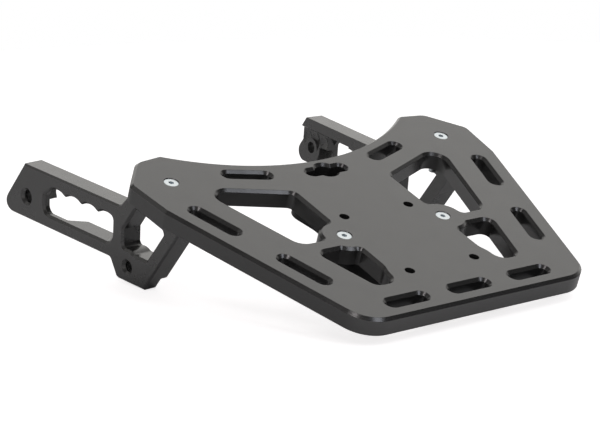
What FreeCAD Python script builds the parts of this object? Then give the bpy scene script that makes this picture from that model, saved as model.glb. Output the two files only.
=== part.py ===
import FreeCAD, Part
import os
from math import atan2, cos, degrees, hypot, radians, sin, sqrt, tan

# Motorcycle luggage rack: a slotted deck plate on two machined side arms and a centre bracket.
# Millimetres. +Z points up out of the deck and +Y to the front of the motorcycle.
# The origin is the middle of the four accessory holes, on the deck's top face.
os.makedirs("parts", exist_ok=True)

V = FreeCAD.Vector
X_AXIS = V(1, 0, 0)
Z_AXIS = V(0, 0, 1)
CENTRE = V(0, 0, 0)

# Deck plate
DECK_THICK = 15.0
DECK_EDGE_CHAMFER = 2.5
OPENING_CHAMFER = 2.4
REAR_EDGE_Y = -93.7
FRONT_EDGE_Y = 128.5
FRONT_ARC_RADIUS = 207.0
HORN_X = 127.1
SHOULDER_X = 152.2
SHOULDER_Y = 168.8
SHOULDER_ROUND = 14.0
SIDE_X = 178.4
SIDE_FRONT_Y = 137.4
SIDE_ROUND = 10.0
WAIST_X = 173.5
WAIST_Y = 93.8
REAR_CORNER_X = 114.1
REAR_CORNER_ROUND = 28.0

# Accessory holes, clear for M8
ACCESSORY_SPACING_X = 67.0
ACCESSORY_SPACING_Y = 85.0
ACCESSORY_HOLE_DIA = 8.5

# Countersunk M6 screws that hold the deck
FRONT_SCREW_X = 142.5
FRONT_SCREW_Y = 131.3
INNER_SCREW_X = 51.6
INNER_SCREW_Y = 18.9
SCREW_DIA = 6.0
SCREW_HEAD_DIA = 12.0
SCREW_RECESS = 0.5
SCREW_KEY_WIDTH = 4.0
SCREW_KEY_DEPTH = 2.5
FRONT_SCREW_LENGTH = 35.0
INNER_SCREW_LENGTH = 30.0
SCREW_CLEARANCE = 0.6
THREAD_GAP = 0.05
SEAT_GAP = 0.05

# Strap slots
SLOT_WIDTH = 15.0
REAR_SLOT_LENGTH = 44.0
REAR_SLOT_PITCH = 63.3
REAR_SLOT_Y = -75.8
SIDE_SLOT_LENGTH = 52.0
SIDE_SLOT_FRONT_X = 143.1
SIDE_SLOT_FRONT_Y = 69.1
SIDE_SLOT_REAR_X = 116.5
SIDE_SLOT_REAR_Y = -14.1
FRONT_SLOT_LENGTH = 46.0
FRONT_SLOT_ANGLE = 18.9
FRONT_SLOT_SETBACK = 17.3

# Opening behind the front edge, a round hole with two short ears
CLOVER_SETBACK = 17.5
CLOVER_RADIUS = 11.6
CLOVER_EAR_SPAN = 44.0
CLOVER_EAR_WIDTH = 14.4
CLOVER_CUSP_ROUND = 3.0

# Weight-saving cut-outs on each side
CUT_SIDE_SETBACK = 49.8
CUT_INNER_X = 48.7
FRONT_CUT_FRONT_Y = 89.4
FRONT_CUT_SLOPE = 20.7
FRONT_CUT_INNER_ROUND = 8.5
FRONT_CUT_FRONT_ROUND = 14.0
FRONT_CUT_REAR_ROUND = 13.0
CUT_WEB = 10.0
CUT_WEB_FRONT_Y = 16.4
REAR_CUT_REAR_Y = -53.0
REAR_CUT_ROUND = 9.0
REAR_CUT_INNER_ROUND = 11.0
SCREW_LAND_RADIUS = 18.0
SCREW_LAND_ROUND = 5.5
ACCESSORY_LAND_RADIUS = 18.5
ACCESSORY_LAND_ROUND = 20.0

# Side arms, in the plane of each plate: u runs forward and z up
ARM_THICK = 18.5
ARM_SPLAY = 3.63
ARM_EDGE_CHAMFER = 1.5
ARM_OPENING_CHAMFER = 2.0
RAIL_PITCH = 13.25
RAIL_HEIGHT = 47.8
RAIL_TOP_Z = -34.3
RAIL_END_U = 173.1
RAIL_NOSE_SLOPE = 67.4
RAIL_NOSE_ROUND = 9.0
HEAD_FRONT_U = 27.9
HEAD_REAR_U = -37.4
NECK_SLOPE = 61.4
NECK_ROUND = 8.0
LEG_SLOPE = 67.7
LEG_WIDTH = 11.3
FOOT_TOE_U = 31.9
FOOT_TOE_Z = -106.4
FOOT_TOE_ROUND = 4.0
HEEL_SLOPE = 44.4
HEEL_ROUND = 5.0

# Levels of the arm's inner side, as depths from its outer face
WEB_DEPTH = 6.3
PAD_DEPTH = 14.2
FOOT_DEPTH = 12.5
HEAD_WEB_DEPTH = 6.0

# Front M10 bolt and lower M8 bolt, which fix each arm to the motorcycle
FRONT_BOLT_U = 162.3
FRONT_BOLT_Z = -101.6
FRONT_BOLT_DIA = 10.5
FRONT_BOLT_RECESS_DIA = 15.6
FRONT_BOLT_RECESS_DEPTH = 5.0
LOWER_BOLT_U = 21.5
LOWER_BOLT_Z = -90.4
LOWER_BOLT_DIA = 8.5
LOWER_BOLT_RECESS_DIA = 13.5
LOWER_BOLT_RECESS_DEPTH = 4.0

# Hand-hold in the rail: p runs along the rail and q down from its top edge
GRIP_REAR_P = 53.0
GRIP_FRONT_P = 150.6
GRIP_BOTTOM_Q = 38.2
GRIP_CREST_Q = 9.2
FINGER_PITCH = 22.4
FINGER_COUNT = 4
FINGER_DEPTH = 3.2
FINGER_FIRST_P = 64.8
FINGER_CUSP_ROUND = 2.5
GRIP_TOP_ROUND = 5.0
GRIP_REAR_ROUND = 12.0
GRIP_FRONT_ROUND = 9.0

# Thinned front of the rail, with the bolt boss and the fluted pad standing in it
BAND_HEIGHT = 10.2
BAND_CHAMFER = 1.2
THIN_START_P = 110.4
BOSS_RADIUS = 13.3
PAD_BOTTOM_Q = 24.8
FLUTE_PITCH = 13.4
FLUTE_COUNT = 3
FLUTE_DEPTH = 2.4
FLUTE_TOP_Q = 12.0
FLUTE_LEAN = 12.0

# Window through head and leg, with a deeper pocket under the flange that carries the deck
WINDOW_WIDTH = 39.8
WINDOW_TOP_Z = -36.0
WINDOW_BOTTOM_Z = -74.3
WINDOW_FRONT_P = 42.4
WINDOW_TOP_ROUND = 5.0
WINDOW_REAR_ROUND = 4.0
WINDOW_LAND_RADIUS = 13.0
WINDOW_LAND_ROUND = 6.0
FLANGE_THICK = 10.0
FOOT_STEP_SLOPE = 16.0
FOOT_STEP_Z = -79.0
FOOT_BOSS_RADIUS = 11.2

# Centre bracket under the deck
BRACKET_THICK = 22.0
BRACKET_FRONT_Y = 118.0
BRACKET_FRONT_HALF = 33.0
BRACKET_FRONT_ROUND = 15.0
BRACKET_WAIST_HALF = 25.5
BRACKET_WAIST_Y = 81.3
BRACKET_WAIST_ROUND = 25.0
BRACKET_WING_RADIUS = 14.0
BRACKET_WING_FRONT_ROUND = 6.0
BRACKET_WING_REAR_ROUND = 20.0
BRACKET_REAR_Y = -51.7
BRACKET_REAR_ROUND = 6.0
BRACKET_BOLT_DIA = 8.0
BRACKET_BOLT_DEPTH = 16.0
BRACKET_BOLT_SPACING = 60.0
NUT_ROOM_RADIUS = 7.5

# Worked out from the sizes above
FRONT_ARC_CENTRE_Y = FRONT_EDGE_Y + FRONT_ARC_RADIUS
HORN_Y = FRONT_ARC_CENTRE_Y - sqrt(FRONT_ARC_RADIUS ** 2 - HORN_X ** 2)
CLOVER_Y = FRONT_EDGE_Y - CLOVER_SETBACK
SIDE_ANGLE = degrees(atan2(WAIST_Y - REAR_EDGE_Y, WAIST_X - REAR_CORNER_X))
SCREW_RADIUS = SCREW_DIA / 2
ARM_FACE_X = FRONT_SCREW_X + ARM_THICK / 2
FRONT_SLOT_ARC = FRONT_ARC_RADIUS + FRONT_SLOT_SETBACK
BRACKET_Z = -DECK_THICK - BRACKET_THICK
REAR_HALF = ACCESSORY_SPACING_X / 2 - NUT_ROOM_RADIUS
TINY = 0.001
CLEAR = 1.0


def meet(point_a, angle_a, point_b, angle_b):
    """Return where two lines cross, each given by a point and its angle in degrees."""
    ax, ay = cos(radians(angle_a)), sin(radians(angle_a))
    bx, by = cos(radians(angle_b)), sin(radians(angle_b))
    gap_x, gap_y = point_b[0] - point_a[0], point_b[1] - point_a[1]
    along = (gap_x * by - gap_y * bx) / (ax * by - ay * bx)
    return point_a[0] + along * ax, point_a[1] + along * ay


def rounded_edges(corners, closed=True):
    """Return the edges through corners (x, y, radius), each corner rounded by its radius."""
    places = [V(x, y, 0) for x, y, radius in corners]
    bends = []
    for index, (x, y, radius) in enumerate(corners):
        here = places[index]
        if radius == 0:
            bends.append((here, here, here))
            continue
        back = (places[index - 1] - here).normalize()
        ahead = (places[(index + 1) % len(places)] - here).normalize()
        half = back.getAngle(ahead) / 2
        setback = radius / tan(half)
        middle = (back + ahead).normalize() * (radius / sin(half) - radius)
        bends.append((here + back * setback, here + middle, here + ahead * setback))
    edges = []
    for index, (start, middle, end) in enumerate(bends):
        if start.distanceToPoint(end) > TINY:
            edges.append(Part.Arc(start, middle, end).toShape())
        if index + 1 == len(bends) and not closed:
            break
        following = bends[(index + 1) % len(bends)][0]
        if end.distanceToPoint(following) > TINY:
            edges.append(Part.makeLine(end, following))
    return edges


def rounded(corners):
    """Return a closed outline with rounded corners."""
    return Part.Wire(rounded_edges(corners))


def inset(corners, distance):
    """Move the sides of an anticlockwise outline inwards, and shrink its rounds to match."""
    sides = []
    for index, (x, y, radius) in enumerate(corners):
        from_x, from_y = corners[index - 1][:2]
        angle = atan2(y - from_y, x - from_x)
        place = (x - distance * sin(angle), y + distance * cos(angle))
        sides.append((place, degrees(angle)))
    moved = []
    for index, (x, y, radius) in enumerate(corners):
        place = meet(*sides[index], *sides[(index + 1) % len(sides)])
        moved.append((*place, max(radius - distance, 0)))
    return moved


def prism(outline, low, high):
    """Return the solid over an outline in the XY plane, from one height to another."""
    solid = Part.Face(outline).extrude(V(0, 0, high - low))
    solid.translate(V(0, 0, low))
    return solid


def box(x0, x1, y0, y1, low, high):
    """Return a box between two corners."""
    return Part.makeBox(x1 - x0, y1 - y0, high - low, V(x0, y0, low))


def cylinder(x, y, radius, low, high):
    """Return an upright cylinder."""
    return Part.makeCylinder(radius, high - low, V(x, y, low), Z_AXIS)


def mirrored(shape):
    """Return the shape's mirror image on the rack's other side."""
    return shape.mirror(CENTRE, X_AXIS)


def upright_edges(solid, wanted):
    """Return the solid's upright edges at the places that wanted(x, y) accepts."""
    found = []
    for edge in solid.Edges:
        start, end = edge.Vertexes[0].Point, edge.Vertexes[-1].Point
        if hypot(start.x - end.x, start.y - end.y) < TINY and abs(start.z - end.z) > TINY:
            if wanted(start.x, start.y):
                found.append(edge)
    return found


def flat_face(solid, height):
    """Return the largest flat face of the solid at one height."""
    faces = [face for face in solid.Faces
             if face.BoundBox.ZLength < TINY and abs(face.BoundBox.ZMax - height) < TINY]
    return max(faces, key=lambda face: face.Area)


def opening_edges(face):
    """Return the edges of all the openings in a face."""
    edges = []
    for wire in face.Wires:
        if not wire.isSame(face.OuterWire):
            edges.extend(wire.Edges)
    return edges


def slot_outline(x, y, length, width, angle):
    """Return a slot with full-round ends, at an angle from X in degrees."""
    half, radius = length / 2, width / 2
    corners = [(-half, -radius, radius), (half, -radius, radius),
               (half, radius, radius), (-half, radius, radius)]
    outline = rounded(corners)
    outline.rotate(CENTRE, Z_AXIS, angle)
    outline.translate(V(x, y, 0))
    return outline


def deck_outline():
    """Return the deck's outer outline, with its concave front edge."""
    half = [(HORN_X, HORN_Y, 0), (SHOULDER_X, SHOULDER_Y, SHOULDER_ROUND),
            (SIDE_X, SIDE_FRONT_Y, SIDE_ROUND), (WAIST_X, WAIST_Y, 0),
            (REAR_CORNER_X, REAR_EDGE_Y, REAR_CORNER_ROUND)]
    corners = half + [(-x, y, radius) for x, y, radius in reversed(half)]
    edges = rounded_edges(corners, closed=False)
    front = V(0, FRONT_EDGE_Y, 0)
    edges.append(Part.Arc(V(-HORN_X, HORN_Y, 0), front, V(HORN_X, HORN_Y, 0)).toShape())
    return Part.Wire(edges)


def strap_slots():
    """Return the nine strap slots, at the size of their walls."""
    width = SLOT_WIDTH - 2 * OPENING_CHAMFER
    trim = 2 * OPENING_CHAMFER
    outlines = []
    for step in (-1, 0, 1):
        outlines.append(slot_outline(step * REAR_SLOT_PITCH, REAR_SLOT_Y,
                                     REAR_SLOT_LENGTH - trim, width, 0))
    slant = radians(FRONT_SLOT_ANGLE)
    front_x = FRONT_SLOT_ARC * sin(slant)
    front_y = FRONT_ARC_CENTRE_Y - FRONT_SLOT_ARC * cos(slant)
    for side in (-1, 1):
        outlines.append(slot_outline(side * front_x, front_y,
                                     FRONT_SLOT_LENGTH - trim, width, side * FRONT_SLOT_ANGLE))
        for x, y in ((SIDE_SLOT_FRONT_X, SIDE_SLOT_FRONT_Y), (SIDE_SLOT_REAR_X, SIDE_SLOT_REAR_Y)):
            outlines.append(slot_outline(side * x, y,
                                         SIDE_SLOT_LENGTH - trim, width, side * SIDE_ANGLE))
    return [prism(outline, -DECK_THICK - CLEAR, CLEAR) for outline in outlines]


def clover():
    """Return the round hole with two ears, at the size of its walls."""
    low = -DECK_THICK - CLEAR
    trim = 2 * OPENING_CHAMFER
    ears = prism(slot_outline(0, CLOVER_Y, CLOVER_EAR_SPAN - trim, CLOVER_EAR_WIDTH - trim, 0),
                 low, CLEAR)
    radius = CLOVER_RADIUS - OPENING_CHAMFER
    hole = ears.fuse(cylinder(0, CLOVER_Y, radius, low, CLEAR))
    cusps = upright_edges(hole, lambda x, y: abs(hypot(x, y - CLOVER_Y) - radius) < TINY
                          and abs(x) > radius / 2)
    return hole.makeFillet(CLOVER_CUSP_ROUND, cusps)


def landed(corners, trim, lands, low, high):
    """Return an opening at the size of its walls, less the round lands that stand in it.

    Each land is a place, a radius, and the rounds at its upper and lower ends.
    """
    blank = prism(rounded(inset(corners, trim)), low, high)
    blank = blank.cut([cylinder(x, y, radius + trim, low, high)
                       for x, y, radius, upper, lower in lands])
    for x, y, radius, upper, lower in lands:
        ends = upright_edges(blank, lambda ex, ey: abs(hypot(ex - x, ey - y) - radius - trim) < TINY)
        ends.sort(key=lambda edge: edge.Vertexes[0].Y)
        for size, end in ((upper, ends[-1]), (lower, ends[0])):
            place = end.Vertexes[0].Point
            edges = upright_edges(blank, lambda ex, ey: hypot(ex - place.x, ey - place.y) < TINY)
            blank = blank.makeFillet(size - trim, edges)
    return blank


def cutouts():
    """Return the four weight-saving cut-outs."""
    slope = radians(SIDE_ANGLE)
    side = (WAIST_X - CUT_SIDE_SETBACK * sin(slope), WAIST_Y + CUT_SIDE_SETBACK * cos(slope))
    rear_cut_front_y = CUT_WEB_FRONT_Y - CUT_WEB
    inner_front = (CUT_INNER_X, FRONT_CUT_FRONT_Y)
    front_corner = meet(inner_front, FRONT_CUT_SLOPE, side, SIDE_ANGLE)
    web_front = meet((0, CUT_WEB_FRONT_Y), 0, side, SIDE_ANGLE)
    web_rear = meet((0, rear_cut_front_y), 0, side, SIDE_ANGLE)
    rear_corner = meet((0, REAR_CUT_REAR_Y), 0, side, SIDE_ANGLE)
    screw_land = (INNER_SCREW_X, INNER_SCREW_Y, SCREW_LAND_RADIUS, SCREW_LAND_ROUND, SCREW_LAND_ROUND)
    hole_land = (ACCESSORY_SPACING_X / 2, -ACCESSORY_SPACING_Y / 2, ACCESSORY_LAND_RADIUS,
                 ACCESSORY_LAND_ROUND, REAR_CUT_INNER_ROUND)
    front = landed([(CUT_INNER_X, CUT_WEB_FRONT_Y, 0), (*web_front, FRONT_CUT_REAR_ROUND),
                    (*front_corner, FRONT_CUT_FRONT_ROUND), (*inner_front, FRONT_CUT_INNER_ROUND)],
                   OPENING_CHAMFER, [screw_land], -DECK_THICK - CLEAR, CLEAR)
    rear = landed([(CUT_INNER_X, REAR_CUT_REAR_Y, 0), (*rear_corner, REAR_CUT_ROUND),
                   (*web_rear, REAR_CUT_ROUND), (CUT_INNER_X, rear_cut_front_y, 0)],
                  OPENING_CHAMFER, [screw_land, hole_land], -DECK_THICK - CLEAR, CLEAR)
    return [front, rear, mirrored(front), mirrored(rear)]


def countersink(x, y):
    """Return the hole for one countersunk screw, from the deck's top face through the deck."""
    top = SCREW_HEAD_DIA / 2 + SCREW_RECESS + SEAT_GAP
    bottom = SCREW_RADIUS + SCREW_CLEARANCE / 2
    cone = Part.makeCone(bottom, top, top - bottom, V(x, y, bottom - top), Z_AXIS)
    return cone.fuse([cylinder(x, y, bottom, -DECK_THICK - CLEAR, 0),
                      cylinder(x, y, top, 0, CLEAR)])


def screw_places():
    """Return the deck screws as name, place and length."""
    return (("front_screw_left", -FRONT_SCREW_X, FRONT_SCREW_Y, FRONT_SCREW_LENGTH),
            ("front_screw_right", FRONT_SCREW_X, FRONT_SCREW_Y, FRONT_SCREW_LENGTH),
            ("inner_screw_left", -INNER_SCREW_X, INNER_SCREW_Y, INNER_SCREW_LENGTH),
            ("inner_screw_right", INNER_SCREW_X, INNER_SCREW_Y, INNER_SCREW_LENGTH))


def deck_plate():
    """Return the deck plate."""
    plate = prism(deck_outline(), -DECK_THICK, 0)
    plate = plate.makeChamfer(DECK_EDGE_CHAMFER, flat_face(plate, 0).Edges)
    plate = plate.cut(strap_slots() + [clover()] + cutouts())
    plate = plate.makeChamfer(OPENING_CHAMFER, opening_edges(flat_face(plate, 0)))
    holes = [countersink(x, y) for name, x, y, length in screw_places()]
    for side in (-1, 1):
        for end in (-1, 1):
            holes.append(cylinder(side * ACCESSORY_SPACING_X / 2, end * ACCESSORY_SPACING_Y / 2,
                                  ACCESSORY_HOLE_DIA / 2, -DECK_THICK - CLEAR, CLEAR))
    return plate.cut(holes)


def screw(x, y, length):
    """Return one countersunk screw with its hexagon socket."""
    top = -SCREW_RECESS
    under_head = top - (SCREW_HEAD_DIA / 2 - SCREW_RADIUS)
    tip = top - length
    profile = [V(0, 0, top), V(SCREW_HEAD_DIA / 2, 0, top), V(SCREW_RADIUS, 0, under_head),
               V(SCREW_RADIUS, 0, tip), V(0, 0, tip), V(0, 0, top)]
    body = Part.Face(Part.makePolygon(profile)).revolve(CENTRE, Z_AXIS, 360)
    corner = SCREW_KEY_WIDTH / sqrt(3)
    hexagon = [V(corner * cos(radians(60 * step)), corner * sin(radians(60 * step)), 0)
               for step in range(7)]
    socket = prism(Part.makePolygon(hexagon), top - SCREW_KEY_DEPTH, top + CLEAR)
    body = body.cut(socket)
    body.translate(V(x, y, 0))
    return body


def rail_point(u, z):
    """Return p and q of a place on the arm: along the rail, and down from its top edge."""
    pitch = radians(RAIL_PITCH)
    drop = RAIL_TOP_Z - z
    return u * cos(pitch) + drop * sin(pitch), drop * cos(pitch) - u * sin(pitch)


def on_rail(shape):
    """Turn and move a shape, drawn with X along p and Y against q, onto the rail."""
    shape.rotate(CENTRE, Z_AXIS, -RAIL_PITCH)
    shape.translate(V(0, RAIL_TOP_Z, 0))
    return shape


def arm_blank():
    """Return the arm's plate with its outline and edge chamfers, outer face at height 0."""
    pitch = radians(RAIL_PITCH)
    head_z = -DECK_THICK
    rail_top = (0, RAIL_TOP_Z)
    rail_bottom = (-RAIL_HEIGHT * sin(pitch), RAIL_TOP_Z - RAIL_HEIGHT * cos(pitch))
    toe = (FOOT_TOE_U, FOOT_TOE_Z)
    head_front = (HEAD_FRONT_U, head_z)
    head_rear = (HEAD_REAR_U, head_z)
    rail_end = meet((RAIL_END_U, 0), 90, rail_top, -RAIL_PITCH)
    neck = meet(head_front, -NECK_SLOPE, rail_top, -RAIL_PITCH)
    nose = meet(rail_end, -RAIL_NOSE_SLOPE, rail_bottom, -RAIL_PITCH)
    heel = meet(rail_bottom, -RAIL_PITCH, toe, HEEL_SLOPE)
    sole_rear = meet(toe, -RAIL_PITCH, head_rear, -LEG_SLOPE)
    outline = rounded([(*head_front, 0), (*neck, NECK_ROUND), (*rail_end, 0),
                       (*nose, RAIL_NOSE_ROUND), (*heel, HEEL_ROUND), (*toe, FOOT_TOE_ROUND),
                       (*sole_rear, 0), (*head_rear, 0)])
    blank = prism(outline, 0, ARM_THICK)
    outer = [edge for edge in flat_face(blank, 0).Edges if edge.BoundBox.YMin < head_z - TINY]
    return blank.makeChamfer(ARM_EDGE_CHAMFER, outer)


def grip_opening():
    """Return the hand-hold with its finger scallops, at the size of its walls."""
    low, high = -CLEAR, ARM_THICK + CLEAR
    trim = ARM_OPENING_CHAMFER
    rear, front = GRIP_REAR_P + trim, GRIP_FRONT_P - trim
    bottom = GRIP_BOTTOM_Q - trim
    radius = ((FINGER_PITCH / 2) ** 2 + FINGER_DEPTH ** 2) / (2 * FINGER_DEPTH)
    centre_q = GRIP_CREST_Q + radius
    split_q = GRIP_BOTTOM_Q - GRIP_REAR_ROUND
    lower = rounded([(rear, -bottom, GRIP_REAR_ROUND - trim),
                     (front, -bottom, GRIP_FRONT_ROUND - trim),
                     (front, -split_q, 0), (rear, -split_q, 0)])
    fingers = [cylinder(FINGER_FIRST_P + step * FINGER_PITCH, -centre_q, radius - trim, low, high)
               for step in range(FINGER_COUNT)]
    upper = fingers[0].fuse(fingers[1:]).common(box(rear, front, -split_q, 0, low, high))
    opening = prism(lower, low, high).fuse(upper).removeSplitter()
    cusp_q = centre_q - sqrt((radius - trim) ** 2 - (FINGER_PITCH / 2) ** 2)
    cusps = upright_edges(opening, lambda x, y: abs(y + cusp_q) < TINY)
    opening = opening.makeFillet(FINGER_CUSP_ROUND, cusps)
    ends = upright_edges(opening, lambda x, y: abs(x - rear) < TINY and y > TINY - split_q)
    return on_rail(opening.makeFillet(GRIP_TOP_ROUND - trim, ends))


def window_part(top_z, low, high):
    """Return the window between leg and neck, up to one height, with the lower bolt's land."""
    slope = radians(LEG_SLOPE)
    rear = (HEAD_REAR_U + LEG_WIDTH / sin(slope), -DECK_THICK)
    front = (rear[0] + WINDOW_WIDTH / sin(slope), -DECK_THICK)
    bottom = (0, WINDOW_BOTTOM_Z)
    pitch = radians(RAIL_PITCH)
    facet = (WINDOW_FRONT_P * cos(pitch), RAIL_TOP_Z - WINDOW_FRONT_P * sin(pitch))
    corners = [(*meet(rear, -LEG_SLOPE, (0, top_z), 0), WINDOW_TOP_ROUND),
               (*meet(rear, -LEG_SLOPE, bottom, -RAIL_PITCH), WINDOW_REAR_ROUND),
               (*meet(facet, 90 - RAIL_PITCH, bottom, -RAIL_PITCH), 0),
               (*meet(facet, 90 - RAIL_PITCH, front, -LEG_SLOPE), 0),
               (*meet(front, -LEG_SLOPE, (0, top_z), 0), WINDOW_TOP_ROUND)]
    land = (LOWER_BOLT_U, LOWER_BOLT_Z, WINDOW_LAND_RADIUS, WINDOW_LAND_ROUND, WINDOW_LAND_ROUND)
    return landed(corners, ARM_OPENING_CHAMFER, [land], low, high)


def window():
    """Return the window through the arm, and the deeper pocket on its inner side."""
    through = window_part(WINDOW_TOP_Z, -CLEAR, ARM_THICK + CLEAR)
    pocket_top = -DECK_THICK - FLANGE_THICK + ARM_OPENING_CHAMFER
    return through, window_part(pocket_top, HEAD_WEB_DEPTH, ARM_THICK + CLEAR)


def flute(p):
    """Return the cutter of one flute, a round-nosed groove that fades out down the pad."""
    half = FLUTE_PITCH / 2
    radius = (half ** 2 + FLUTE_DEPTH ** 2) / (2 * FLUTE_DEPTH)
    start = V(p, -FLUTE_TOP_Q - half, PAD_DEPTH - FLUTE_DEPTH + radius)
    lean = radians(FLUTE_LEAN)
    groove = Part.makeCylinder(radius, RAIL_HEIGHT, start, V(0, -cos(lean), sin(lean)))
    return groove.fuse(Part.makeSphere(radius, start))


def front_relief():
    """Return what is milled off the rail's inner side, round the bolt boss and the fluted pad."""
    low, high = WEB_DEPTH, ARM_THICK + CLEAR
    bolt_p, bolt_q = rail_point(FRONT_BOLT_U, FRONT_BOLT_Z)
    reach = bolt_p + 3 * BOSS_RADIUS
    ramp = ARM_THICK - WEB_DEPTH
    side = [V(THIN_START_P - CLEAR, 0, high), V(THIN_START_P + ramp, 0, low), V(reach, 0, low),
            V(reach, 0, high), V(THIN_START_P - CLEAR, 0, high)]
    relief = Part.Face(Part.makePolygon(side)).extrude(V(0, RAIL_HEIGHT, 0))
    relief.translate(V(0, -BAND_HEIGHT - RAIL_HEIGHT, 0))
    edge = [V(THIN_START_P, -BAND_HEIGHT - CLEAR, high),
            V(THIN_START_P, -BAND_HEIGHT - CLEAR, ARM_THICK - BAND_CHAMFER - CLEAR),
            V(THIN_START_P, BAND_CHAMFER + CLEAR - BAND_HEIGHT, high),
            V(THIN_START_P, -BAND_HEIGHT - CLEAR, high)]
    bevel = Part.Face(Part.makePolygon(edge)).extrude(V(reach - THIN_START_P, 0, 0))
    boss = cylinder(bolt_p, -bolt_q, BOSS_RADIUS, 0, PAD_DEPTH)
    neck = box(bolt_p - BOSS_RADIUS, bolt_p + BOSS_RADIUS, -bolt_q, 0, 0, PAD_DEPTH)
    pad = box(GRIP_FRONT_P - ARM_OPENING_CHAMFER, bolt_p, -PAD_BOTTOM_Q, 0, 0, PAD_DEPTH)
    flutes = [flute(bolt_p + (0.5 - step) * FLUTE_PITCH) for step in range(FLUTE_COUNT)]
    raised = boss.fuse([neck, pad]).cut(flutes)
    return on_rail(relief.cut(raised).fuse(bevel))


def foot_step():
    """Return what is milled off the inner side of the foot, round the lower bolt."""
    step = (LOWER_BOLT_U, FOOT_STEP_Z)
    reach = RAIL_HEIGHT
    left = meet(step, FOOT_STEP_SLOPE, (HEAD_REAR_U, 0), 90)
    right = meet(step, FOOT_STEP_SLOPE, (FOOT_TOE_U, FOOT_TOE_Z), HEEL_SLOPE + 45)
    outline = Part.makePolygon([V(*left, 0), V(*right, 0), V(right[0], right[1] - reach, 0),
                                V(left[0], left[1] - reach, 0), V(*left, 0)])
    step = prism(outline, FOOT_DEPTH, ARM_THICK + CLEAR)
    return step.cut(cylinder(LOWER_BOLT_U, LOWER_BOLT_Z, FOOT_BOSS_RADIUS, 0, ARM_THICK + CLEAR))


def bolt_hole(u, z, diameter, recess_diameter, recess_depth):
    """Return one bolt hole with its recess in the outer face."""
    hole = cylinder(u, z, diameter / 2, -CLEAR, ARM_THICK + CLEAR)
    return hole.fuse(cylinder(u, z, recess_diameter / 2, -CLEAR, recess_depth))


def left_arm():
    """Return the left arm in its place under the deck."""
    through, pocket = window()
    arm = arm_blank().cut([grip_opening(), through])
    arm = arm.makeChamfer(ARM_OPENING_CHAMFER, opening_edges(flat_face(arm, 0)))
    arm = arm.cut([pocket, front_relief(), foot_step(),
                   bolt_hole(FRONT_BOLT_U, FRONT_BOLT_Z, FRONT_BOLT_DIA,
                             FRONT_BOLT_RECESS_DIA, FRONT_BOLT_RECESS_DEPTH),
                   bolt_hole(LOWER_BOLT_U, LOWER_BOLT_Z, LOWER_BOLT_DIA,
                             LOWER_BOLT_RECESS_DIA, LOWER_BOLT_RECESS_DEPTH)])
    arm.rotate(CENTRE, V(1, 1, 1), 120)
    arm.rotate(CENTRE, Z_AXIS, ARM_SPLAY)
    arm.translate(V(-ARM_FACE_X, FRONT_SCREW_Y, 0))
    return arm.cut(cylinder(-FRONT_SCREW_X, FRONT_SCREW_Y, SCREW_RADIUS + THREAD_GAP,
                            WINDOW_TOP_Z - CLEAR, 0))


def centre_bracket():
    """Return the bracket under the middle of the deck."""
    wing_x = INNER_SCREW_X + BRACKET_WING_RADIUS
    wing_front = INNER_SCREW_Y + BRACKET_WING_RADIUS
    wing_rear = INNER_SCREW_Y - BRACKET_WING_RADIUS
    half = [(BRACKET_FRONT_HALF, BRACKET_FRONT_Y, BRACKET_FRONT_ROUND),
            (BRACKET_WAIST_HALF, BRACKET_WAIST_Y, BRACKET_WAIST_ROUND),
            (BRACKET_WAIST_HALF, wing_front, BRACKET_WING_FRONT_ROUND),
            (wing_x, wing_front, BRACKET_WING_RADIUS), (wing_x, wing_rear, BRACKET_WING_RADIUS),
            (REAR_HALF, wing_rear, BRACKET_WING_REAR_ROUND),
            (REAR_HALF, BRACKET_REAR_Y, BRACKET_REAR_ROUND)]
    outline = rounded(half + [(-x, y, radius) for x, y, radius in reversed(half)])
    bracket = prism(outline, BRACKET_Z, -DECK_THICK)
    holes = []
    for side in (-1, 1):
        holes.append(cylinder(side * INNER_SCREW_X, INNER_SCREW_Y, SCREW_RADIUS + THREAD_GAP,
                              BRACKET_Z - CLEAR, 0))
        holes.append(cylinder(0, INNER_SCREW_Y + side * BRACKET_BOLT_SPACING / 2,
                              BRACKET_BOLT_DIA / 2, BRACKET_Z - CLEAR,
                              BRACKET_Z + BRACKET_BOLT_DEPTH))
    return bracket.cut(holes)


def save(name, shape):
    """Write one piece as a STEP file."""
    solid = shape.Solids[0] if len(shape.Solids) == 1 else shape
    solid.exportStep(f"parts/{name}.step")
    print(name, len(shape.Solids), shape.isValid(), round(shape.Volume))


def main():
    """Build every piece of the rack."""
    save("deck_plate", deck_plate())
    arm = left_arm()
    save("left_arm", arm)
    save("right_arm", mirrored(arm))
    save("centre_bracket", centre_bracket())
    for name, x, y, length in screw_places():
        save(name, screw(x, y, length))


main()
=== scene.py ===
import math

import bmesh
import bpy
from mathutils import Matrix, Vector


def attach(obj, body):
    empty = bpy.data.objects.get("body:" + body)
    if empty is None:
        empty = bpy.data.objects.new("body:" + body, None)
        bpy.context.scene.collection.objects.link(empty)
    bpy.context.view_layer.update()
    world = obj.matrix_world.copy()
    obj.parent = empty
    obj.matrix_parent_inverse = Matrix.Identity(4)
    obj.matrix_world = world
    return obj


# Motorcycle luggage rack: the finish of each piece, and a white table top under soft studio light.
# Metres, in the rack's own frame: +Z out of the deck, +Y to the front of the motorcycle.

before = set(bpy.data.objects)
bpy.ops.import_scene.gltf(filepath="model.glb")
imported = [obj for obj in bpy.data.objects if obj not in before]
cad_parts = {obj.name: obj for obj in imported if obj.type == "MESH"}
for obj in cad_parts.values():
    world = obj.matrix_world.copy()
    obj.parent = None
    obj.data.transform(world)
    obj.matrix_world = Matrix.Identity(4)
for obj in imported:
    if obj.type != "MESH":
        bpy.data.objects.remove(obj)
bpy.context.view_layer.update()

UP = Vector((0, 0, 1))
WHITE = (1, 1, 1, 1)

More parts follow.
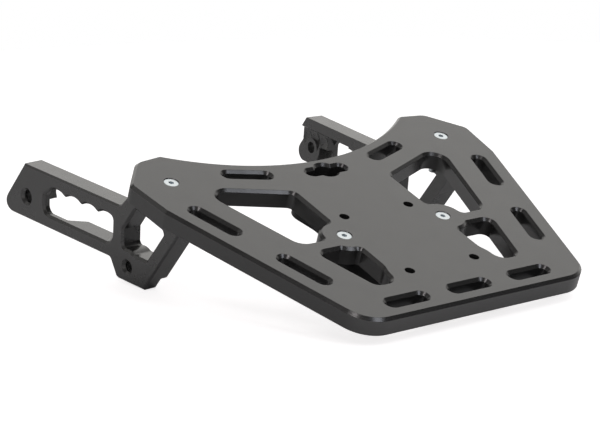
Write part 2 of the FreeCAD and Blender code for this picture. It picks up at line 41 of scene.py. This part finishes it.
# Finishes: colour, index of refraction and roughness
PLATE_COLOUR = (0.031, 0.0305, 0.0305, 1)
PLATE_IOR = 1.85
PLATE_ROUGHNESS = 0.24
ARM_COLOUR = (0.042, 0.0415, 0.0415, 1)
ARM_IOR = 1.93
ARM_ROUGHNESS = 0.26
BRACKET_COLOUR = (0.012, 0.012, 0.0125, 1)
BRACKET_IOR = 1.5
BRACKET_ROUGHNESS = 0.45
ZINC_COLOUR = (0.72, 0.77, 0.80, 1)
ZINC_SMOOTHEST = 0.22
ZINC_ROUGHEST = 0.34

# Blasted grain of the metal, and its barely broken edges
GRAIN_SIZE = 0.00035
ZINC_GRAIN_SIZE = 0.0006
GRAIN_HEIGHT = 0.00001
GRAIN_DETAIL = 2.0
GRAIN_ROUGHNESS = 0.6
EDGE_ROUND = 0.0004
EDGE_SAMPLES = 6

# Slow variation of the roughness: its noise, and the part of the noise's range that is used
WEAR_DETAIL = 4.0
WEAR_ROUGHNESS = 0.55
WEAR_LOW = 0.3
WEAR_HIGH = 0.7

# How far the anodised roughness varies to each side, and the variation's waves in a metre
ANODISED_WEAR = 0.03
ANODISED_WEAR_SCALE = 60.0
ZINC_WEAR_SCALE = 900.0

# The arms' lean against the middle plane, and a point at the start of each arm's outer face
ARM_LEAN = math.radians(3.63)
ARM_FACE_X = 0.15175
ARM_START_Y = 0.1313

# Each arm's two bolt holes: the place along the arm and up, and the radii of the bore and the recess
FRONT_BOLT = (0.1623, -0.1016)
FRONT_BORE = 0.0053
FRONT_RIM = 0.00778
LOWER_BOLT = (0.0215, -0.0904)
LOWER_BORE = 0.0043
LOWER_RIM = 0.00673

# The land round the front bolt on the arm's inner side: depth below the outer face, radius, thickness
BOSS_TOP = 0.01423
BOSS_LAND = 0.0090
FLUTE_DEPTH = 0.0024
RING_STEPS = 48

# The room's colour, and its dim level everywhere
ROOM_COLOUR = (1.0, 0.985, 0.955, 1)
DIM_LEVEL = 0.045

# Its pale lower walls: the level, and how steeply a ray rises where they are full and where they end
WALL_LEVEL = 0.40
WALL_FULL = 0.10
WALL_EDGE = 0.50

# Brighter patches of the room: the direction, the level, and the cosines where each begins and is full
BACKDROP = (Vector((0.70, 0.70, 0.08)), 1.15, 0.45, 0.98)
CEILING = (UP, 1.4, 0.92, 0.985)
FRONT_LEFT_PANEL = (Vector((-0.76, 0.61, 0.26)), 0.5, 0.82, 0.95)
REAR_LEFT_PANEL = (Vector((-0.65, -0.65, 0.34)), 0.45, 0.88, 0.97)

# The rack lies on its feet and rear edge, so the table is tilted against the deck.
TABLE_TILT = math.radians(18.76)
TABLE_NORMAL = Vector((0, math.sin(TABLE_TILT), math.cos(TABLE_TILT)))
TABLE_OFFSET = -0.0518
TABLE_RADIUS = 1.2
TABLE_SIDES = 96
TABLE_COLOUR = (0.78, 0.78, 0.80, 1)
GLOW_COLOUR = (1.0, 0.985, 0.985, 1)
TABLE_GLOW = 0.80

# Painted reflection: the share of the table's glow that the rack reflects, behind its rear edge and under it;
# the brighter strip behind the rear edge lightens the rear wall
REAR_PAINTED_REFLECTION = 0.20
TABLE_PAINTED_REFLECTION = 0.01

# The share falls between these two places along the table.
REAR_STRIP_Y = -0.115
TABLE_MAIN_Y = -0.06

# The softboxes: name, place, width, height, power in watts, colour
SOFTBOX_AIM = Vector((0, 0, 0))
SOFTBOXES = (
    ("left_light", Vector((-1.08, -0.10, 1.68)), 0.42, 0.42, 2.6, (1.0, 0.95, 0.95)),
    ("rear_light", Vector((0.20, -1.20, 1.59)), 0.70, 0.60, 3.4, (0.89, 0.92, 1.0)),
)

# The photograph's viewpoint, with a lens given for a sensor 36 mm wide
CAMERA_PLACE = Vector((-1.2612, -1.2235, 0.9414))
CAMERA_AIM = Vector((-0.0721, 0.0512, 0.0))
LENS = 150.35
SENSOR = 36.0
NEAREST = 0.05
FARTHEST = 50.0


class Nodes:
    """Adds and links the nodes of one material or world."""

    def __init__(self, owner):
        owner.use_nodes = True
        self.tree = owner.node_tree
        self.tree.nodes.clear()

    def add(self, kind, **values):
        """Add a node, and set the named inputs and properties."""
        node = self.tree.nodes.new(kind)
        for name, value in values.items():
            if hasattr(node, name):
                setattr(node, name, value)
            else:
                node.inputs[name.replace("_", " ")].default_value = value
        return node

    def link(self, source, output, target, slot):
        """Link one output to one input."""
        self.tree.links.new(source.outputs[output], target.inputs[slot])

    def noise(self, scale, detail, roughness):
        """Add a noise that stays fixed to the piece."""
        place = self.add("ShaderNodeTexCoord")
        noise = self.add("ShaderNodeTexNoise", Scale=scale, Detail=detail, Roughness=roughness)
        self.link(place, "Object", noise, "Vector")
        return noise

    def ramp(self, source, output, low, high, start, end, kind="LINEAR"):
        """Add a level that goes from start to end while one output goes from low to high."""
        level = self.add("ShaderNodeMapRange", interpolation_type=kind,
                         From_Min=low, From_Max=high, To_Min=start, To_Max=end)
        self.link(source, output, level, "Value")
        return level

    def combine(self, operation, first, second):
        """Add a maths node on two outputs, each given as its node and its name or number."""
        node = self.add("ShaderNodeMath", operation=operation)
        self.link(*first, node, 0)
        self.link(*second, node, 1)
        return node

    def mix(self, factor, first, second):
        """Add a mix of two shaders by a factor, with each output given as its node and its name."""
        node = self.add("ShaderNodeMixShader")
        self.link(*factor, node, 0)
        self.link(*first, node, 1)
        self.link(*second, node, 2)
        return node

    def show(self, shader, output, kind="ShaderNodeOutputMaterial"):
        """End the tree in one shader."""
        self.link(shader, output, self.add(kind), "Surface")


def grain(nodes, size):
    """Return a bump node with a fine blasted grain, and edges that are barely broken."""
    noise = nodes.noise(1 / size, GRAIN_DETAIL, GRAIN_ROUGHNESS)
    bump = nodes.add("ShaderNodeBump", Strength=1.0, Distance=GRAIN_HEIGHT)
    nodes.link(noise, "Fac", bump, "Height")
    edge = nodes.add("ShaderNodeBevel", samples=EDGE_SAMPLES, Radius=EDGE_ROUND)
    nodes.link(edge, "Normal", bump, "Normal")
    return bump


def wear(nodes, low, high, scale):
    """Return a slow variation between two values, for roughness."""
    noise = nodes.noise(scale, WEAR_DETAIL, WEAR_ROUGHNESS)
    return nodes.ramp(noise, "Fac", WEAR_LOW, WEAR_HIGH, low, high)


def anodised_aluminium(name, colour, roughness, index):
    """Return satin black anodised aluminium with a blasted grain."""
    material = bpy.data.materials.new(name)
    nodes = Nodes(material)
    shader = nodes.add("ShaderNodeBsdfPrincipled", Base_Color=colour, Metallic=0.0, IOR=index)
    spread = wear(nodes, roughness - ANODISED_WEAR, roughness + ANODISED_WEAR, ANODISED_WEAR_SCALE)
    nodes.link(spread, "Result", shader, "Roughness")
    nodes.link(grain(nodes, GRAIN_SIZE), "Normal", shader, "Normal")
    nodes.show(shader, "BSDF")
    return material


def zinc_plate():
    """Return bright zinc plate."""
    material = bpy.data.materials.new("zinc_plate")
    nodes = Nodes(material)
    shader = nodes.add("ShaderNodeBsdfPrincipled", Base_Color=ZINC_COLOUR, Metallic=1.0)
    spread = wear(nodes, ZINC_SMOOTHEST, ZINC_ROUGHEST, ZINC_WEAR_SCALE)
    nodes.link(spread, "Result", shader, "Roughness")
    nodes.link(grain(nodes, ZINC_GRAIN_SIZE), "Normal", shader, "Normal")
    nodes.show(shader, "BSDF")
    return material


def dress_pieces():
    """Give every piece of the rack its finish."""
    plate = anodised_aluminium("anodised_plate", PLATE_COLOUR, PLATE_ROUGHNESS, PLATE_IOR)
    arms = anodised_aluminium("anodised_arms", ARM_COLOUR, ARM_ROUGHNESS, ARM_IOR)
    bracket = anodised_aluminium("black_bracket", BRACKET_COLOUR, BRACKET_ROUGHNESS, BRACKET_IOR)
    zinc = zinc_plate()
    finishes = {"deck_plate": plate, "left_arm": arms, "right_arm": arms, "centre_bracket": bracket}
    for name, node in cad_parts.items():
        node.data.materials.clear()
        node.data.materials.append(finishes.get(name, zinc))


def placed(place, across, up, out):
    """Return the frame at one place, from the directions of its three axes."""
    return Matrix.Translation(place) @ Matrix((across, up, out)).transposed().to_4x4()


def add_object(name, data):
    """Add one object to the scene."""
    item = bpy.data.objects.new(name, data)
    bpy.context.scene.collection.objects.link(item)
    return item


def arm_frame(side, bolt, depth):
    """Return the frame on one bolt's axis, with Z outwards and 0 at one depth below the outer face."""
    along, height = bolt
    out = Vector((side * math.cos(ARM_LEAN), -math.sin(ARM_LEAN), 0))
    ahead = Vector((side * math.sin(ARM_LEAN), math.cos(ARM_LEAN), 0))
    place = Vector((side * ARM_FACE_X, ARM_START_Y, height)) + ahead * along - out * depth
    return placed(place, UP.cross(out), UP, out)


def ring(name, profile, place, material):
    """Turn a closed profile of radii and heights into a ring, in one frame."""
    body = bmesh.new()
    rounds = []
    for step in range(RING_STEPS):
        angle = 2 * math.pi * step / RING_STEPS
        corners = [(radius * math.cos(angle), radius * math.sin(angle), height) for radius, height in profile]
        rounds.append([body.verts.new(place @ Vector(corner)) for corner in corners])
    count = len(profile)
    for step in range(RING_STEPS):
        here = rounds[step]
        there = rounds[(step + 1) % RING_STEPS]
        for side in range(count):
            after = (side + 1) % count
            body.faces.new((here[side], there[side], there[after], here[after]))
    bmesh.ops.recalc_face_normals(body, faces=body.faces)
    mesh = bpy.data.meshes.new(name)
    body.to_mesh(mesh)
    body.free()
    mesh.materials.append(material)
    piece = add_object(name, mesh)
    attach(piece, "root")


def bolt_rims():
    """Add the bevelled rims of the arms' bolt holes, and the land round each front bolt's boss."""
    material = bpy.data.materials["anodised_arms"]
    bolts = (("front", FRONT_BOLT, FRONT_BORE, FRONT_RIM), ("lower", LOWER_BOLT, LOWER_BORE, LOWER_RIM))
    land = [(FRONT_BORE, 0.0), (BOSS_LAND, 0.0), (BOSS_LAND, FLUTE_DEPTH), (FRONT_BORE, FLUTE_DEPTH)]
    for side, word in ((-1, "left"), (1, "right")):
        for bolt, place, bore, rim in bolts:
            bevel = [(rim, 0.0), (bore, bore - rim), (rim, bore - rim)]
            ring(word + "_" + bolt + "_rim", bevel, arm_frame(side, place, 0.0), material)
        ring(word + "_boss_land", land, arm_frame(side, FRONT_BOLT, BOSS_TOP), material)


def direction_level(nodes, direction, low, high, start, end):
    """Return a level that goes from start to end as a ray turns to one direction, between two cosines."""
    ray = nodes.add("ShaderNodeTexCoord")
    cosine = nodes.add("ShaderNodeVectorMath", operation="DOT_PRODUCT")
    cosine.inputs[1].default_value = direction.normalized()
    nodes.link(ray, "Generated", cosine, 0)
    return nodes.ramp(cosine, "Value", low, high, start, end, "SMOOTHSTEP")


def studio_world():
    """Light the room by its lower walls and brighter patches, and show the camera a white background."""
    world = bpy.data.worlds.new("studio")
    bpy.context.scene.world = world
    nodes = Nodes(world)
    level = direction_level(nodes, UP, WALL_FULL, WALL_EDGE, WALL_LEVEL, DIM_LEVEL)
    for direction, full_level, edge, full in (BACKDROP, CEILING, FRONT_LEFT_PANEL, REAR_LEFT_PANEL):
        patch = direction_level(nodes, direction, edge, full, DIM_LEVEL, full_level)
        level = nodes.combine("MAXIMUM", (level, 0), (patch, 0))
    light = nodes.add("ShaderNodeBackground", Color=ROOM_COLOUR)
    nodes.link(level, "Value", light, "Strength")
    white = nodes.add("ShaderNodeBackground", Color=WHITE, Strength=1.0)
    path = nodes.add("ShaderNodeLightPath")
    mixed = nodes.mix((path, "Is Camera Ray"), (light, "Background"), (white, "Background"))
    nodes.show(mixed, "Shader", "ShaderNodeOutputWorld")


def table_material():
    """Return the white table top: it keeps a faint shadow, shows dimly in metal as a painted reflection, and
    is clear from below.
    """
    material = bpy.data.materials.new("white_table")
    nodes = Nodes(material)
    matt = nodes.add("ShaderNodeBsdfDiffuse", Color=TABLE_COLOUR)
    glow = nodes.add("ShaderNodeEmission", Color=GLOW_COLOUR, Strength=TABLE_GLOW)
    path = nodes.add("ShaderNodeLightPath")
    surface = nodes.add("ShaderNodeNewGeometry")
    place = nodes.add("ShaderNodeSeparateXYZ")
    nodes.link(surface, "Position", place, "Vector")
    # Painted reflection: glossy rays see a share of the table's glow, most of it behind the rack's rear edge
    share = nodes.ramp(place, "Y", REAR_STRIP_Y, TABLE_MAIN_Y, REAR_PAINTED_REFLECTION, TABLE_PAINTED_REFLECTION, "SMOOTHSTEP")
    painted_reflection = nodes.combine("MULTIPLY", (path, "Is Glossy Ray"), (share, "Result"))
    shown = nodes.combine("MAXIMUM", (path, "Is Camera Ray"), (painted_reflection, "Value"))
    bright = nodes.add("ShaderNodeAddShader")
    nodes.link(matt, "BSDF", bright, 0)
    nodes.link(glow, "Emission", bright, 1)
    upper = nodes.mix((shown, "Value"), (matt, "BSDF"), (bright, "Shader"))
    clear = nodes.add("ShaderNodeBsdfTransparent")
    top = nodes.mix((surface, "Backfacing"), (upper, "Shader"), (clear, "BSDF"))
    nodes.show(top, "Shader")
    return material


def table():
    """Put the table top under the rack."""
    bpy.ops.mesh.primitive_circle_add(vertices=TABLE_SIDES, radius=TABLE_RADIUS, fill_type="NGON")
    top = bpy.context.object
    top.name = "table_top"
    top.rotation_mode = "QUATERNION"
    top.rotation_quaternion = TABLE_NORMAL.to_track_quat("Z", "Y")
    top.location = TABLE_NORMAL * TABLE_OFFSET
    top.data.materials.append(table_material())


def lamps():
    """Add the studio's two softboxes, at the places that the glints round the corners show."""
    for name, place, width, height, power, colour in SOFTBOXES:
        data = bpy.data.lights.new(name, "AREA")
        data.shape = "RECTANGLE"
        data.size = width
        data.size_y = height
        data.energy = power
        data.color = colour
        lamp = add_object(name, data)
        lamp.location = place
        lamp.rotation_mode = "QUATERNION"
        lamp.rotation_quaternion = (SOFTBOX_AIM - place).to_track_quat("-Z", "Y")


def camera():
    """Look from the photograph's viewpoint, level with the table."""
    data = bpy.data.cameras.new("camera")
    data.lens = LENS
    data.sensor_width = SENSOR
    data.clip_start = NEAREST
    data.clip_end = FARTHEST
    seat = add_object("camera", data)
    back = (CAMERA_PLACE - CAMERA_AIM).normalized()
    right = TABLE_NORMAL.cross(back).normalized()
    seat.matrix_world = placed(CAMERA_PLACE, right, back.cross(right), back)
    bpy.context.scene.camera = seat


bpy.context.scene.view_settings.view_transform = "Standard"
dress_pieces()
bolt_rims()
studio_world()
table()
lamps()
camera()
